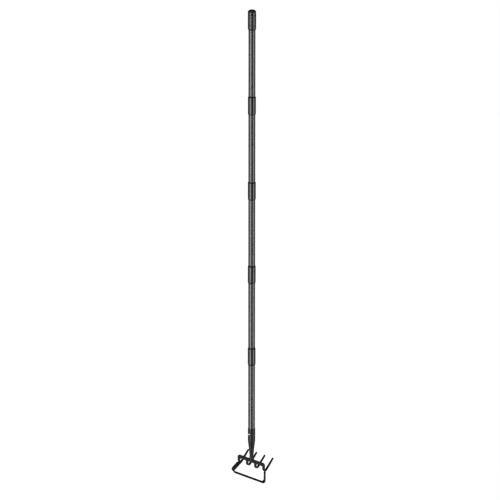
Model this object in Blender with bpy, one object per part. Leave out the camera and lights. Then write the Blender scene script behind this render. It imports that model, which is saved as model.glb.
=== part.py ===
"""Long-handled stirrup weeder with a four-tine cultivator on a five-section screw-together pole.

Metres, +Z up the pole. The pole's axis is the Z axis and the origin is the middle of the hand
grip. +X runs along the blade, +Y is the side the tines point to, and -Y is the side the stirrup
leans to. Every screw joint is drawn tight.
"""

import math

import bmesh
import bpy
from mathutils import Matrix, Vector

# ---- fits and facets ---------------------------------------------------------------------------
GAP = 0.0003                 # play between pieces that touch
SIDES = 32                   # facets round a turned piece
HOLE_SIDES = 16              # facets round a small hole or screw
EDGE = 0.0005                # small chamfer on turned edges
MERGE = 0.000001             # points closer than this are one

# ---- pole --------------------------------------------------------------------------------------
SECTION_COUNT = 5
SECTION_PITCH = 0.326        # from one collar's rim to the next
TUBE_RADIUS = 0.0125
TUBE_WALL = 0.0013

# ---- hand grip and end cap ---------------------------------------------------------------------
GRIP_WALL = 0.0022
GRIP_LENGTH = 0.056
GRIP_TAPER = 0.0075          # length of the taper at the grip's lower end
GRIP_LIP = 0.0005            # thickness left at the tapered end
GRIP_GROOVE_DROP = 0.037     # from the grip's top edge to the ring groove
GRIP_GROOVE_WIDTH = 0.0016
GRIP_GROOVE_DEPTH = 0.0005
CAP_SIDE = 0.0105            # straight side of the end cap
CAP_DOME = 0.0090            # height of its dome
CAP_SHANK = 0.022            # plug that sits in the top tube
HANG_HOLE_RADIUS = 0.0030
HANG_HOLE_RISE = 0.0050      # from the cap's base to the hole's axis
HANG_HOLE_TURN = 43.0        # degrees from -Y towards +X, where the thread came up tight
DOME_STEPS = 6

# ---- screw joints ------------------------------------------------------------------------------
COLLAR_WALL = 0.0016
COLLAR_LENGTH = 0.068
COLLAR_TOP_CHAMFER = 0.0025
COLLAR_TAPER = 0.0060
COLLAR_LIP = 0.0006          # thickness left at the tapered end
COLLAR_RIM_STEP = 0.0010     # how much the top chamfer takes off the radius
THREAD_RADIUS = 0.0090       # outside radius of the stud's thread
THREAD_LENGTH = 0.0250       # ten turns at a 2.5 mm pitch
THREAD_POINT = 0.0015        # lead-in chamfer at the stud's tip
SOCKET_SPARE = 0.0040        # depth left under the stud's tip
COLLAR_WEB = 0.0020          # ring between the threaded bore and the tube's seat
PLUG_LENGTH = 0.030          # part of the stud that is pressed into the tube
WASHER_THICKNESS = 0.0015

# ---- head socket -------------------------------------------------------------------------------
SOCKET_WALL = 0.0008
SOCKET_STRAIGHT = 0.048      # sleeve over the tube
SEAT_LEDGE = 0.0020          # part of the sleeve below the tube's end
SHOULDER_RADIUS = 0.0098
SHOULDER_CONE = 0.033        # from the sleeve to the shoulder
NECK_RADIUS = 0.0075
NECK_CONE = 0.025            # from the shoulder to the neck
NECK_LENGTH = 0.0190         # from there to the comb's top edge
SADDLE_RADIUS = 0.0092       # neck's foot, which straddles the comb
SADDLE_DEPTH = 0.0090
CAVITY_WALL = 0.0022         # wall of the cone under the tube's end
CAVITY_END = 0.0040          # pointed end of the hollow in that cone
SCREW_DROP = 0.020           # from the socket's mouth to the screw
PLUG_PAST_SCREW = 0.0050     # part of the socket's plug above the screw's axis
SCREW_RADIUS = 0.0025
SCREW_LENGTH = 0.018
SCREW_HEAD_RADIUS = 0.0045
SCREW_HEAD_HEIGHT = 0.0028
SCREW_HEAD_CHAMFER = 0.0016
SCREW_POINT = 0.0008
CROSS_SLOT_SHARE = 0.6       # of the head's radius
CROSS_SLOT_WIDTH = 0.0011
CROSS_SLOT_DEPTH = 0.0012

# ---- cultivator comb ---------------------------------------------------------------------------
TINE_COUNT = 4
TINE_SPACING = 0.0425
PLATE_THICKNESS = 0.0040
COMB_OFFSET = -0.0015        # the plate's middle, in Y
BAR_HEIGHT = 0.0128
BAR_CORNER = 0.010           # rounding of the bar's two top corners
OUTER_EXTRA = 0.0015         # the outer legs are this much wider on the outside
LEG_WIDTH = 0.0090
LEG_LENGTH = 0.0098          # straight leg under the bar
HOOK_RADIUS = 0.0093         # to the middle of the plate
HOOK_BASE_WIDTH = 0.0074     # where the hook ends and the tine begins
TINE_RISE = 43.0             # degrees above level
TINE_LENGTH = 0.0520
TINE_TIP_WIDTH = 0.0052
TIP_POINT = 0.0030           # length of the blunt point
TIP_WIDTH = 0.0030
NOTCH_RADIUS = 0.0040        # rounding between bar and legs
HOOK_STEPS = 10
NOTCH_STEPS = 3
CORNER_STEPS = 5

# ---- stirrup -----------------------------------------------------------------------------------
BLADE_SPAN = 0.1715          # between the two corners of the stirrup, before rounding
BLADE_WIDTH = 0.0142
BLADE_THICKNESS = 0.0025
BLADE_TILT = 54.0            # degrees that its wide side dips towards +Y
BLADE_DROP = 0.0364          # from the hooks' lowest middle line to the blade's middle
BLADE_LEAN = 0.0265          # how far the blade stands to -Y of the hooks
ARM_ROOT_OUT = 0.0022        # the arms' roots lie this far outside the outer tines' middles
ARM_ROOT_SHIFT = 0.0042      # the arms' roots lie this far to -Y of the hooks
ARM_TWIST = 18.0             # degrees that an arm's wide side turns outwards
ARM_FLARE = 0.0024           # the arms are this much wider than the blade, on their -Y side
STIRRUP_CORNER = 0.0080      # bend radius
EDGE_GRIND = 0.0026          # width of the ground edges
EDGE_LAND = 0.0009           # thickness left at a ground edge
STRIP_CHAMFER = 0.0001       # on the arms' inner edges
BEND_STEPS = 7

# ---- worked out from the sizes above -----------------------------------------------------------
CAP_HEIGHT = CAP_SIDE + CAP_DOME
TOP_Z = (CAP_HEIGHT + GAP + GRIP_LENGTH) / 2
BORE_RADIUS = TUBE_RADIUS + GAP
GRIP_RADIUS = BORE_RADIUS + GRIP_WALL
COLLAR_RADIUS = BORE_RADIUS + COLLAR_WALL
SOCKET_RADIUS = BORE_RADIUS + SOCKET_WALL
TUBE_BORE = TUBE_RADIUS - TUBE_WALL
PLUG_RADIUS = TUBE_BORE - GAP
THREAD_BORE = THREAD_RADIUS + GAP
JOINT_STACK = WASHER_THICKNESS + 2 * GAP
TUBE_SEAT_DROP = THREAD_LENGTH + SOCKET_SPARE + COLLAR_WEB
SOCKET_Z = TOP_Z - SECTION_COUNT * SECTION_PITCH
SEAT_Z = SOCKET_Z - SOCKET_STRAIGHT + SEAT_LEDGE
SCREW_Z = SOCKET_Z - SCREW_DROP
SHOULDER_Z = SOCKET_Z - SOCKET_STRAIGHT - SHOULDER_CONE
NECK_Z = SHOULDER_Z - NECK_CONE
COMB_TOP = NECK_Z - NECK_LENGTH
TINE_MIDDLES = [(index - (TINE_COUNT - 1) / 2) * TINE_SPACING for index in range(TINE_COUNT)]
HOOK_TURN = math.radians(90.0 + TINE_RISE)
HOOK_ARC = HOOK_RADIUS * HOOK_TURN
HOOK_Z = COMB_TOP - BAR_HEIGHT - LEG_LENGTH - HOOK_RADIUS
HOOK_Y = COMB_OFFSET + HOOK_RADIUS
BLADE_Y = HOOK_Y - BLADE_LEAN
BLADE_Z = HOOK_Z - BLADE_DROP


def clear_scene():
    """Remove every object that a new file starts with."""
    for item in list(bpy.data.objects):
        bpy.data.objects.remove(item, do_unlink=True)


def material(name, colour, roughness, metallic):
    """A Principled material of one colour."""
    made = bpy.data.materials.new(name)
    made.use_nodes = True
    shader = made.node_tree.nodes["Principled BSDF"]
    shader.inputs["Base Color"].default_value = (*colour, 1.0)
    shader.inputs["Roughness"].default_value = roughness
    shader.inputs["Metallic"].default_value = metallic
    return made


def finish(name, bm, finish_material, smooth_angle=30.0):
    """Turn a bmesh into a named object, its faces pointing outwards."""
    bmesh.ops.recalc_face_normals(bm, faces=bm.faces)
    mesh = bpy.data.meshes.new(name)
    bm.to_mesh(mesh)
    bm.free()
    mesh.shade_smooth()
    mesh.set_sharp_from_angle(angle=math.radians(smooth_angle))
    mesh.materials.append(finish_material)
    made = bpy.data.objects.new(name, mesh)
    bpy.context.scene.collection.objects.link(made)
    return made


def turned(name, profile, finish_material, sides=SIDES, closed=False):
    """A turned piece. The profile lists (radius, z); a closed one is a ring, an open one meets the axis."""
    bm = bmesh.new()
    points = [bm.verts.new((radius, 0.0, z)) for radius, z in profile]
    pairs = list(zip(points, points[1:]))
    if closed:
        pairs.append((points[-1], points[0]))
    edges = [bm.edges.new(pair) for pair in pairs]
    bmesh.ops.spin(bm, geom=points + edges, cent=(0, 0, 0), axis=(0, 0, 1), angle=2 * math.pi,
                   steps=sides, use_merge=True, use_duplicate=False)
    bmesh.ops.remove_doubles(bm, verts=bm.verts, dist=MERGE)
    return finish(name, bm, finish_material)


def rod_mesh(radius, length, centre, direction, sides=HOLE_SIDES):
    """A cylinder of the given length, centred at a point and lying along a direction."""
    bm = bmesh.new()
    turn = Vector((0, 0, 1)).rotation_difference(Vector(direction)).to_matrix().to_4x4()
    bmesh.ops.create_cone(bm, cap_ends=True, segments=sides, radius1=radius, radius2=radius,
                          depth=length, matrix=Matrix.Translation(centre) @ turn)
    return bm


def box_mesh(low, high):
    """A box between two corners."""
    bm = bmesh.new()
    size = Vector(high) - Vector(low)
    centre = (Vector(high) + Vector(low)) / 2
    place = Matrix.Translation(centre) @ Matrix.Diagonal((*size, 1.0))
    bmesh.ops.create_cube(bm, size=1.0, matrix=place)
    return bm


def cut(target, name, bm, cutter_material):
    """Cut a shape out of a piece with an exact Boolean."""
    cutter = finish(name, bm, cutter_material)
    cutter.hide_render = True
    cutter.display_type = "WIRE"
    modifier = target.modifiers.new(name, "BOOLEAN")
    modifier.operation = "DIFFERENCE"
    modifier.solver = "EXACT"
    modifier.object = cutter


# ---- hand grip ---------------------------------------------------------------------------------

def build_end_cap(plastic):
    """Domed cap with a shank that plugs the top tube and a hole across it to hang the tool by."""
    base = TOP_Z - CAP_HEIGHT
    dome = []
    for step in range(DOME_STEPS + 1):
        angle = math.radians(90.0 * step / DOME_STEPS)
        dome.append((GRIP_RADIUS * math.sin(angle), base + CAP_SIDE + CAP_DOME * math.cos(angle)))
    profile = dome + [
        (GRIP_RADIUS, base + EDGE),
        (GRIP_RADIUS - EDGE, base),
        (PLUG_RADIUS, base),
        (PLUG_RADIUS, base - CAP_SHANK + EDGE),
        (PLUG_RADIUS - EDGE, base - CAP_SHANK),
        (0.0, base - CAP_SHANK),
    ]
    cap = turned("end_cap", profile, plastic)
    turn = math.radians(HANG_HOLE_TURN)
    direction = (math.sin(turn), -math.cos(turn), 0.0)
    hole = rod_mesh(HANG_HOLE_RADIUS, 3 * GRIP_RADIUS, (0, 0, base + HANG_HOLE_RISE), direction)
    cut(cap, "hang_hole_cutter", hole, plastic)


def build_hand_grip(plastic):
    """Sleeve over the top of the pole, with a ring groove and a tapered lower end."""
    top = TOP_Z - CAP_HEIGHT - GAP
    bottom = top - GRIP_LENGTH
    groove = top - GRIP_GROOVE_DROP
    half = GRIP_GROOVE_WIDTH / 2
    turned("hand_grip", [
        (BORE_RADIUS, top),
        (GRIP_RADIUS - EDGE, top),
        (GRIP_RADIUS, top - EDGE),
        (GRIP_RADIUS, groove + half),
        (GRIP_RADIUS - GRIP_GROOVE_DEPTH, groove),
        (GRIP_RADIUS, groove - half),
        (GRIP_RADIUS, bottom + GRIP_TAPER),
        (BORE_RADIUS + GRIP_LIP, bottom),
        (BORE_RADIUS, bottom),
    ], plastic, closed=True)


# ---- pole sections -----------------------------------------------------------------------------

def rim_z(number):
    """Height of a collar's rim. Collar 1 is the uppermost."""
    return TOP_Z - number * SECTION_PITCH


def section_top(number):
    """Top end of a section's tube: under the end cap, or on the web inside a collar."""
    if number == 1:
        return TOP_Z - CAP_HEIGHT - GAP
    return rim_z(number - 1) - TUBE_SEAT_DROP - GAP


def section_bottom(number):
    """Lower end of a section's tube: above a washer, or on the ledge inside the head socket."""
    if number == SECTION_COUNT:
        return SEAT_Z + GAP
    return rim_z(number) + JOINT_STACK


def build_tube(number, steel):
    """One painted steel tube."""
    top = section_top(number)
    bottom = section_bottom(number)
    return turned(f"tube_{number}", [
        (TUBE_BORE, top),
        (TUBE_RADIUS, top),
        (TUBE_RADIUS, bottom),
        (TUBE_BORE, bottom),
    ], steel, closed=True)


def build_collar(number, plastic):
    """Threaded collar on the top of a lower section. Its bore takes the stud of the section above."""
    rim = rim_z(number)
    bottom = rim - COLLAR_LENGTH
    turned(f"joint_collar_{number}", [
        (THREAD_BORE, rim),
        (COLLAR_RADIUS - COLLAR_RIM_STEP, rim),
        (COLLAR_RADIUS, rim - COLLAR_TOP_CHAMFER),
        (COLLAR_RADIUS, bottom + COLLAR_TAPER),
        (BORE_RADIUS + COLLAR_LIP, bottom),
        (BORE_RADIUS, bottom),
        (BORE_RADIUS, rim - TUBE_SEAT_DROP),
        (THREAD_BORE, rim - TUBE_SEAT_DROP),
    ], plastic, closed=True)


def build_stud(number, zinc):
    """Threaded stud, pressed into the lower end of an upper section."""
    shoulder = section_bottom(number)
    tip = rim_z(number) - THREAD_LENGTH
    turned(f"threaded_stud_{number}", [
        (0.0, shoulder + PLUG_LENGTH),
        (PLUG_RADIUS, shoulder + PLUG_LENGTH),
        (PLUG_RADIUS, shoulder),
        (THREAD_RADIUS, shoulder),
        (THREAD_RADIUS, tip + THREAD_POINT),
        (THREAD_RADIUS - THREAD_POINT, tip),
        (0.0, tip),
    ], zinc)


def build_washer(number, rubber):
    """Flat washer that lies on a collar's rim and keeps the joint from working loose."""
    low = rim_z(number) + GAP
    turned(f"joint_washer_{number}", [
        (THREAD_BORE, low + WASHER_THICKNESS),
        (TUBE_RADIUS, low + WASHER_THICKNESS),
        (TUBE_RADIUS, low),
        (THREAD_BORE, low),
    ], rubber, closed=True)


# ---- head socket -------------------------------------------------------------------------------

def screw_hole(target, name, start, end, steel):
    """Cross hole for the socket screw, from one Y to another."""
    middle = (0.0, (start + end) / 2, SCREW_Z)
    cut(target, name, rod_mesh(SCREW_RADIUS + GAP, end - start, middle, (0, 1, 0)), steel)


def build_socket(steel):
    """Swaged steel socket: sleeve, cone and neck, and a foot slotted over the comb."""
    foot = COMB_TOP - SADDLE_DEPTH
    cone_top = SOCKET_Z - SOCKET_STRAIGHT
    socket = turned("head_socket", [
        (BORE_RADIUS, SOCKET_Z),
        (SOCKET_RADIUS - EDGE, SOCKET_Z),
        (SOCKET_RADIUS, SOCKET_Z - EDGE),
        (SOCKET_RADIUS, cone_top),
        (SHOULDER_RADIUS, SHOULDER_Z),
        (NECK_RADIUS, NECK_Z),
        (NECK_RADIUS, COMB_TOP + SADDLE_DEPTH),
        (SADDLE_RADIUS, COMB_TOP),
        (SADDLE_RADIUS, foot + EDGE),
        (SADDLE_RADIUS - EDGE, foot),
        (0.0, foot),
        (0.0, SHOULDER_Z - CAVITY_END),
        (SHOULDER_RADIUS - CAVITY_WALL - CAVITY_END, SHOULDER_Z - CAVITY_END),
        (SHOULDER_RADIUS - CAVITY_WALL, SHOULDER_Z),
        (SOCKET_RADIUS - CAVITY_WALL, cone_top),
        (SOCKET_RADIUS - CAVITY_WALL, SEAT_Z),
        (BORE_RADIUS, SEAT_Z),
    ], steel, closed=True)
    reach = 2 * SOCKET_RADIUS
    half = PLATE_THICKNESS / 2 + GAP
    slot = box_mesh((-reach, COMB_OFFSET - half, foot - SADDLE_DEPTH),
                    (reach, COMB_OFFSET + half, COMB_TOP + GAP))
    cut(socket, "saddle_cutter", slot, steel)
    screw_hole(socket, "socket_hole_cutter", -reach, -PLUG_RADIUS, steel)


def build_socket_plug(plastic):
    """Solid plug in the end of the lowest tube, which the socket screw bites into."""
    bottom = section_bottom(SECTION_COUNT)
    top = SCREW_Z + PLUG_PAST_SCREW
    plug = turned("socket_plug", [
        (0.0, top),
        (PLUG_RADIUS - EDGE, top),
        (PLUG_RADIUS, top - EDGE),
        (PLUG_RADIUS, bottom),
        (0.0, bottom),
    ], plastic)
    inner_end = SCREW_LENGTH - SOCKET_RADIUS
    screw_hole(plug, "plug_hole_cutter", -SOCKET_RADIUS, inner_end, plastic)


def build_screw(zinc):
    """Pan-head screw with a crossed slot, through the socket and the tube into the plug."""
    under = SOCKET_RADIUS + GAP
    outer = under + SCREW_HEAD_HEIGHT
    tip = SOCKET_RADIUS - SCREW_LENGTH + 2 * GAP
    screw = turned("socket_screw", [
        (0.0, outer),
        (SCREW_HEAD_RADIUS - SCREW_HEAD_CHAMFER, outer),
        (SCREW_HEAD_RADIUS, outer - SCREW_HEAD_CHAMFER),
        (SCREW_HEAD_RADIUS, under),
        (SCREW_RADIUS, under),
        (SCREW_RADIUS, tip + SCREW_POINT),
        (SCREW_RADIUS - SCREW_POINT, tip),
        (0.0, tip),
    ], zinc, sides=HOLE_SIDES)
    place = Matrix.Translation((0, 0, SCREW_Z)) @ Matrix.Rotation(math.radians(90), 4, "X")
    screw.data.transform(place)
    half = CROSS_SLOT_WIDTH / 2
    reach = SCREW_HEAD_RADIUS * CROSS_SLOT_SHARE
    for name, across, along in (("level_slot_cutter", reach, half), ("upright_slot_cutter", half, reach)):
        slot = box_mesh((-across, -outer - CROSS_SLOT_DEPTH, SCREW_Z - along),
                        (across, -outer + CROSS_SLOT_DEPTH, SCREW_Z + along))
        cut(screw, name, slot, zinc)


# ---- cultivator comb ---------------------------------------------------------------------------

def comb_point(x, drop):
    """Where a point of the flat blank lands once the tines are bent. Drop is measured from the top edge."""
    straight = BAR_HEIGHT + LEG_LENGTH
    if drop <= straight:
        return Vector((x, COMB_OFFSET, COMB_TOP - drop))
    angle = min((drop - straight) / HOOK_RADIUS, HOOK_TURN)
    y = COMB_OFFSET + HOOK_RADIUS * (1 - math.cos(angle))
    z = COMB_TOP - straight - HOOK_RADIUS * math.sin(angle)
    past = drop - straight - HOOK_ARC
    if past > 0:
        y += past * math.sin(HOOK_TURN)
        z -= past * math.cos(HOOK_TURN)
    return Vector((x, y, z))


def finger_width(past_bar):
    """Width of a finger, by distance along the blank from the bar's lower edge."""
    hook_end = LEG_LENGTH + HOOK_ARC
    tip = hook_end + TINE_LENGTH
    stops = [
        (0.0, LEG_WIDTH),
        (LEG_LENGTH, LEG_WIDTH),
        (hook_end, HOOK_BASE_WIDTH),
        (tip - TIP_POINT, TINE_TIP_WIDTH),
        (tip, TIP_WIDTH),
    ]
    for (start, wide), (end, narrow) in zip(stops, stops[1:]):
        if past_bar <= end:
            return wide + (narrow - wide) * (past_bar - start) / (end - start)
    return TIP_WIDTH


def finger_rows():
    """Distances from the bar's lower edge at which a finger has a row of points."""
    notch = [NOTCH_RADIUS * (1 - math.cos(math.radians(90.0 * step / NOTCH_STEPS)))
             for step in range(NOTCH_STEPS + 1)]
    bend = [LEG_LENGTH + HOOK_ARC * step / HOOK_STEPS for step in range(HOOK_STEPS + 1)]
    end = LEG_LENGTH + HOOK_ARC + TINE_LENGTH
    return notch + bend + [end - TIP_POINT, end]


def notch_flare(past_bar):
    """Extra width on a leg where it runs into the bar in a round notch."""
    if past_bar >= NOTCH_RADIUS:
        return 0.0
    return NOTCH_RADIUS - math.sqrt(NOTCH_RADIUS ** 2 - (NOTCH_RADIUS - past_bar) ** 2)


def build_comb(steel):
    """Bar and four hooked tines, stamped from one plate: a bent sheet given its thickness."""
    bm = bmesh.new()
    bar_half = TINE_MIDDLES[-1] + LEG_WIDTH / 2 + OUTER_EXTRA
    lower_edge = []
    for index, middle in enumerate(TINE_MIDDLES):
        left_extra = OUTER_EXTRA if index == 0 else 0.0
        right_extra = OUTER_EXTRA if index == TINE_COUNT - 1 else 0.0
        previous = None
        for row in finger_rows():
            half = finger_width(row) / 2
            flare = notch_flare(row)
            fade = max(0.0, 1.0 - row / (LEG_LENGTH + HOOK_RADIUS))
            left = middle - half - (left_extra * fade if left_extra else flare)
            right = middle + half + (right_extra * fade if right_extra else flare)
            pair = [bm.verts.new(comb_point(x, BAR_HEIGHT + row)) for x in (left, right)]
            if previous is None:
                lower_edge += pair
            else:
                bm.faces.new((previous[0], previous[1], pair[1], pair[0]))
            previous = pair
    top_edge = []
    for side, order in ((1, range(CORNER_STEPS + 1)), (-1, range(CORNER_STEPS, -1, -1))):
        for step in order:
            angle = math.radians(90.0 * step / CORNER_STEPS)
            x = side * (bar_half - BAR_CORNER * (1 - math.cos(angle)))
            drop = BAR_CORNER * (1 - math.sin(angle))
            top_edge.append(bm.verts.new(comb_point(x, drop)))
    bm.faces.new(lower_edge + top_edge)
    comb = finish("tine_comb", bm, steel)
    plate = comb.modifiers.new("plate", "SOLIDIFY")
    plate.thickness = PLATE_THICKNESS
    plate.offset = 0.0
    plate.use_even_offset = True


# ---- stirrup -----------------------------------------------------------------------------------

def stirrup_frame():
    """Corner, root, arm direction and wide directions of the right-hand side of the stirrup.

    The blade is tilted to its cutting angle, and each arm is twisted outwards, so the strip turns
    a little about its own length as it goes round the corner.
    """
    tilt = math.radians(BLADE_TILT)
    wide = Vector((0.0, math.cos(tilt), -math.sin(tilt)))
    corner = Vector((BLADE_SPAN / 2, BLADE_Y, BLADE_Z))
    root_z = HOOK_Z - PLATE_THICKNESS / 2 - GAP
    root = Vector((TINE_MIDDLES[-1] + ARM_ROOT_OUT, HOOK_Y - ARM_ROOT_SHIFT, root_z))
    arm = (root - corner).normalized()
    along = Vector((1.0, 0.0, 0.0))
    twist = math.radians(ARM_TWIST)
    square = arm.cross(along).normalized()
    arm_wide = math.cos(twist) * square + math.sin(twist) * arm.cross(square)
    return corner, root, arm, wide, arm_wide


def strip_section(centre, along, wide, grind, flare):
    """Six points round the strip. Grind is 1 on the blade, whose two edges are ground from inside, and
    flare is 1 on the arms, which are wider."""
    wide = (wide - wide.dot(along) * along).normalized()
    inward = along.cross(wide).normalized()
    half = BLADE_WIDTH / 2
    back = -half - flare * ARM_FLARE
    high = BLADE_THICKNESS / 2
    land = high - STRIP_CHAMFER - grind * (BLADE_THICKNESS - EDGE_LAND - STRIP_CHAMFER)
    inset = STRIP_CHAMFER + grind * (EDGE_GRIND - STRIP_CHAMFER)
    corners = [
        (back, -high),
        (half, -high),
        (half, land),
        (half - inset, high),
        (back + inset, high),
        (back, land),
    ]
    return [centre + wide * across + inward * up for across, up in corners]


def build_stirrup(steel):
    """One strip bent into a stirrup: a blade between two folded arms whose tops are cut level."""
    corner, root, arm, wide, arm_wide = stirrup_frame()
    along = Vector((1.0, 0.0, 0.0))
    turn = along.angle(arm)
    trim = STIRRUP_CORNER * math.tan(turn / 2)
    side_axis = (arm - arm.dot(along) * along).normalized()
    bend_centre = corner - along * trim + side_axis * STIRRUP_CORNER
    rings = [strip_section(Vector((0.0, BLADE_Y, BLADE_Z)), along, wide, 1.0, 0.0)]
    for step in range(BEND_STEPS + 1):
        share = step / BEND_STEPS
        angle = turn * share
        heading = along * math.cos(angle) + side_axis * math.sin(angle)
        place = bend_centre + STIRRUP_CORNER * (along * math.sin(angle) - side_axis * math.cos(angle))
        lean = wide.lerp(arm_wide, share)
        rings.append(strip_section(place, heading, lean, 1.0 - min(1.0, 2.0 * share), share))
    level = [point + arm * ((root.z - point.z) / arm.z) for point in rings[-1]]
    rings.append(level)
    mirrored = [[Vector((-point.x, point.y, point.z)) for point in ring] for ring in rings[:0:-1]]
    bm = bmesh.new()
    loops = [[bm.verts.new(point) for point in ring] for ring in mirrored + rings]
    for first, second in zip(loops, loops[1:]):
        for index in range(len(first)):
            after = (index + 1) % len(first)
            bm.faces.new((first[index], first[after], second[after], second[index]))
    bm.faces.new(loops[0])
    bm.faces.new(loops[-1])
    finish("stirrup_blade", bm, steel)


def main():
    """Build every piece, from the hand grip down."""
    clear_scene()
    grip_plastic = material("black_grip_plastic", (0.040, 0.040, 0.041), 0.50, 0.0)
    collar_plastic = material("black_collar_plastic", (0.026, 0.026, 0.029), 0.34, 0.0)
    tube_paint = material("charcoal_tube_paint", (0.060, 0.060, 0.066), 0.36, 0.0)
    head_paint = material("black_head_paint", (0.016, 0.016, 0.017), 0.40, 0.0)
    zinc = material("zinc_plate", (0.55, 0.56, 0.57), 0.34, 1.0)
    rubber = material("black_rubber", (0.020, 0.020, 0.020), 0.75, 0.0)
    build_end_cap(grip_plastic)
    build_hand_grip(grip_plastic)
    tubes = [build_tube(number, tube_paint) for number in range(1, SECTION_COUNT + 1)]
    for number in range(1, SECTION_COUNT):
        build_collar(number, collar_plastic)
        build_stud(number, zinc)
        build_washer(number, rubber)
    build_socket(head_paint)
    screw_hole(tubes[-1], "tube_hole_cutter", -SOCKET_RADIUS, 0.0, tube_paint)
    build_socket_plug(collar_plastic)
    build_screw(zinc)
    build_comb(head_paint)
    build_stirrup(head_paint)


main()
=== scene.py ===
"""Looks of a long-handled stirrup weeder on a five-section pole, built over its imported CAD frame.

Everything is in metres in the frame of the CAD part: +Z up the pole, +X along the blade and +Y
towards the tine tips. Each piece is a surface computed on a grid and rides on its CAD body.
"""

import math

import bmesh
import bpy
import numpy as np
from mathutils import Matrix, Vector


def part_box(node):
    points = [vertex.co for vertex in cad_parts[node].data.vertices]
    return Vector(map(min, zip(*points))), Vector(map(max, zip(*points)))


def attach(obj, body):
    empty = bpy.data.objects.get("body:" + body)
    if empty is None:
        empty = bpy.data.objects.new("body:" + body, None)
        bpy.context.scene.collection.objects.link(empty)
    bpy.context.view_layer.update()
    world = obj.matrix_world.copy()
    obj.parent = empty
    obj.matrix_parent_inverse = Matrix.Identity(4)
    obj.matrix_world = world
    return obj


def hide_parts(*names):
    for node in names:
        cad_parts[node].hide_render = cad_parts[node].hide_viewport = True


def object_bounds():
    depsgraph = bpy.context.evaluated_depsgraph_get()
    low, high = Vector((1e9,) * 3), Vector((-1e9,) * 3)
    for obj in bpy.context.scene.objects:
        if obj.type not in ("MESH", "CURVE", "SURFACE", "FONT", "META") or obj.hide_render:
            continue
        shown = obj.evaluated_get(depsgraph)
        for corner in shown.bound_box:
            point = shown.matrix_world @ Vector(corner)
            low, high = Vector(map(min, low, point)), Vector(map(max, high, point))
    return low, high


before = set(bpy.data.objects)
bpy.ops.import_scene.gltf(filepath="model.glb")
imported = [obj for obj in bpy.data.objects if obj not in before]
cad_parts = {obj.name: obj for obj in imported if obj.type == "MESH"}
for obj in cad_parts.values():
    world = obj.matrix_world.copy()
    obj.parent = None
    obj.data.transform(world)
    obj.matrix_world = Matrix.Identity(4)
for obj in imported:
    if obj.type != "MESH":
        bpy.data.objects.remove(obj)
CAD_BOX = [list(corner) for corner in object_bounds()]

# ---- sizes shared with the CAD part ------------------------------------------------------------
GAP = 0.0003                 # play between two pieces that fit into each other
SECTIONS = 5
TUBE_RADIUS = 0.0125
TUBE_WALL = 0.0013
BORE_RADIUS = TUBE_RADIUS + GAP
PLUG_RADIUS = 0.0109         # shanks and plugs that go into a tube
THREAD_RADIUS = 0.0090
THREAD_BORE = THREAD_RADIUS + GAP
THREAD_PITCH = 0.0025
THREAD_DEPTH = 0.0012
THREAD_TURNS = 10            # turns that free a stud from its collar
GRIP_RADIUS = 0.0150
COLLAR_RADIUS = 0.0144
SOCKET_RADIUS = 0.0136
FLOOR_GAP = 0.0005           # from the floor to the lowest that the blade reaches

# ---- fineness of the surfaces ------------------------------------------------------------------
SIDES = 96                   # points round a turned piece
ROWS_PER_TURN = 12           # rows of points in one pitch of a thread
BEAD_STEP = 0.0003           # length of one step along a weld bead
BEAD_SIDES = 20
MERGE = 1e-7                 # points closer than this are one point
ON_WALL = 1e-6               # points this near to a wall lie on it
WORN_ROUNDING = 0.0009       # corners rounder than this keep their paint

# ---- end cap and grip --------------------------------------------------------------------------
CAP_SIDE = 0.0105            # straight side below the dome
HOLE_DROP = 0.0145           # from the cap's top down to the hanging hole
HOLE_TURN = math.radians(43.0)
HOLE_RADIUS = 0.0030
HOLE_FLARE = 0.0011          # how much wider the hole's mouths are
HOLE_REACH = 0.0156          # half the length of its cutter, past the cap's side
GROOVE_DROP = 0.037          # from the grip's top down to its ring groove
GROOVE_HALF = 0.0012
GROOVE_FLOOR = 0.0003        # half the width of the groove's floor
GROOVE_DEPTH = 0.0006
GRIP_TAPER = 0.0075          # length of the taper at the grip's lower end
GRIP_LIP = 0.0005

# ---- pole joints -------------------------------------------------------------------------------
SEAT_DROP = 0.031            # from a collar's rim down to the seat of its tube
COLLAR_TAPER = 0.0060
COLLAR_LIP = 0.0006
RIM_HEIGHT = 0.0025          # height and width of the rim's chamfer
RIM_WIDTH = 0.0010
MOUTH_WIDTH = 0.0006         # width and height of the chamfer at the threaded bore
MOUTH_HEIGHT = 0.0008
TIP_CHAMFER = 0.0016
THREAD_FADE = 0.0015         # length over which a thread dies out at each end
WASHER_SWELL = GAP - 0.00004

# ---- head socket and its screw -----------------------------------------------------------------
SEAT_DEPTH = 0.046           # this and the four drops after it are measured down from the mouth
CONE_DROP = 0.048            # where the swaged cone starts
SHOULDER_DROP = 0.081
NECK_DROP = 0.106
SCREW_DROP = 0.020
LEDGE = 0.0022               # step inwards under the tube's end
CAVITY_RADIUS = 0.0076
CAVITY_TIP = 0.0036
CAVITY_END = 0.0040
SHOULDER_RADIUS = 0.0098
NECK_RADIUS = 0.0075
FOOT_RADIUS = 0.0092
FOOT_LAP = 0.0090            # how far the foot straddles the comb, and how high its taper is
SLOT_HALF = 0.030            # half the length of the cutter for the foot's slot
SCREW_RADIUS = 0.0025
SCREW_LENGTH = 0.0177
SCREW_POINT = 0.0008
SCREW_HOLE = 0.0028
HEAD_RADIUS = 0.0045
HEAD_HEIGHT = 0.0028
HEAD_SIDE = 0.0010           # height of the head's straight side
HEAD_FLAT = 0.0026
RECESS_REACH = 0.0026        # half the length of the crossed recess
RECESS_HALF = 0.00055
RECESS_DEPTH = 0.0012

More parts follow.
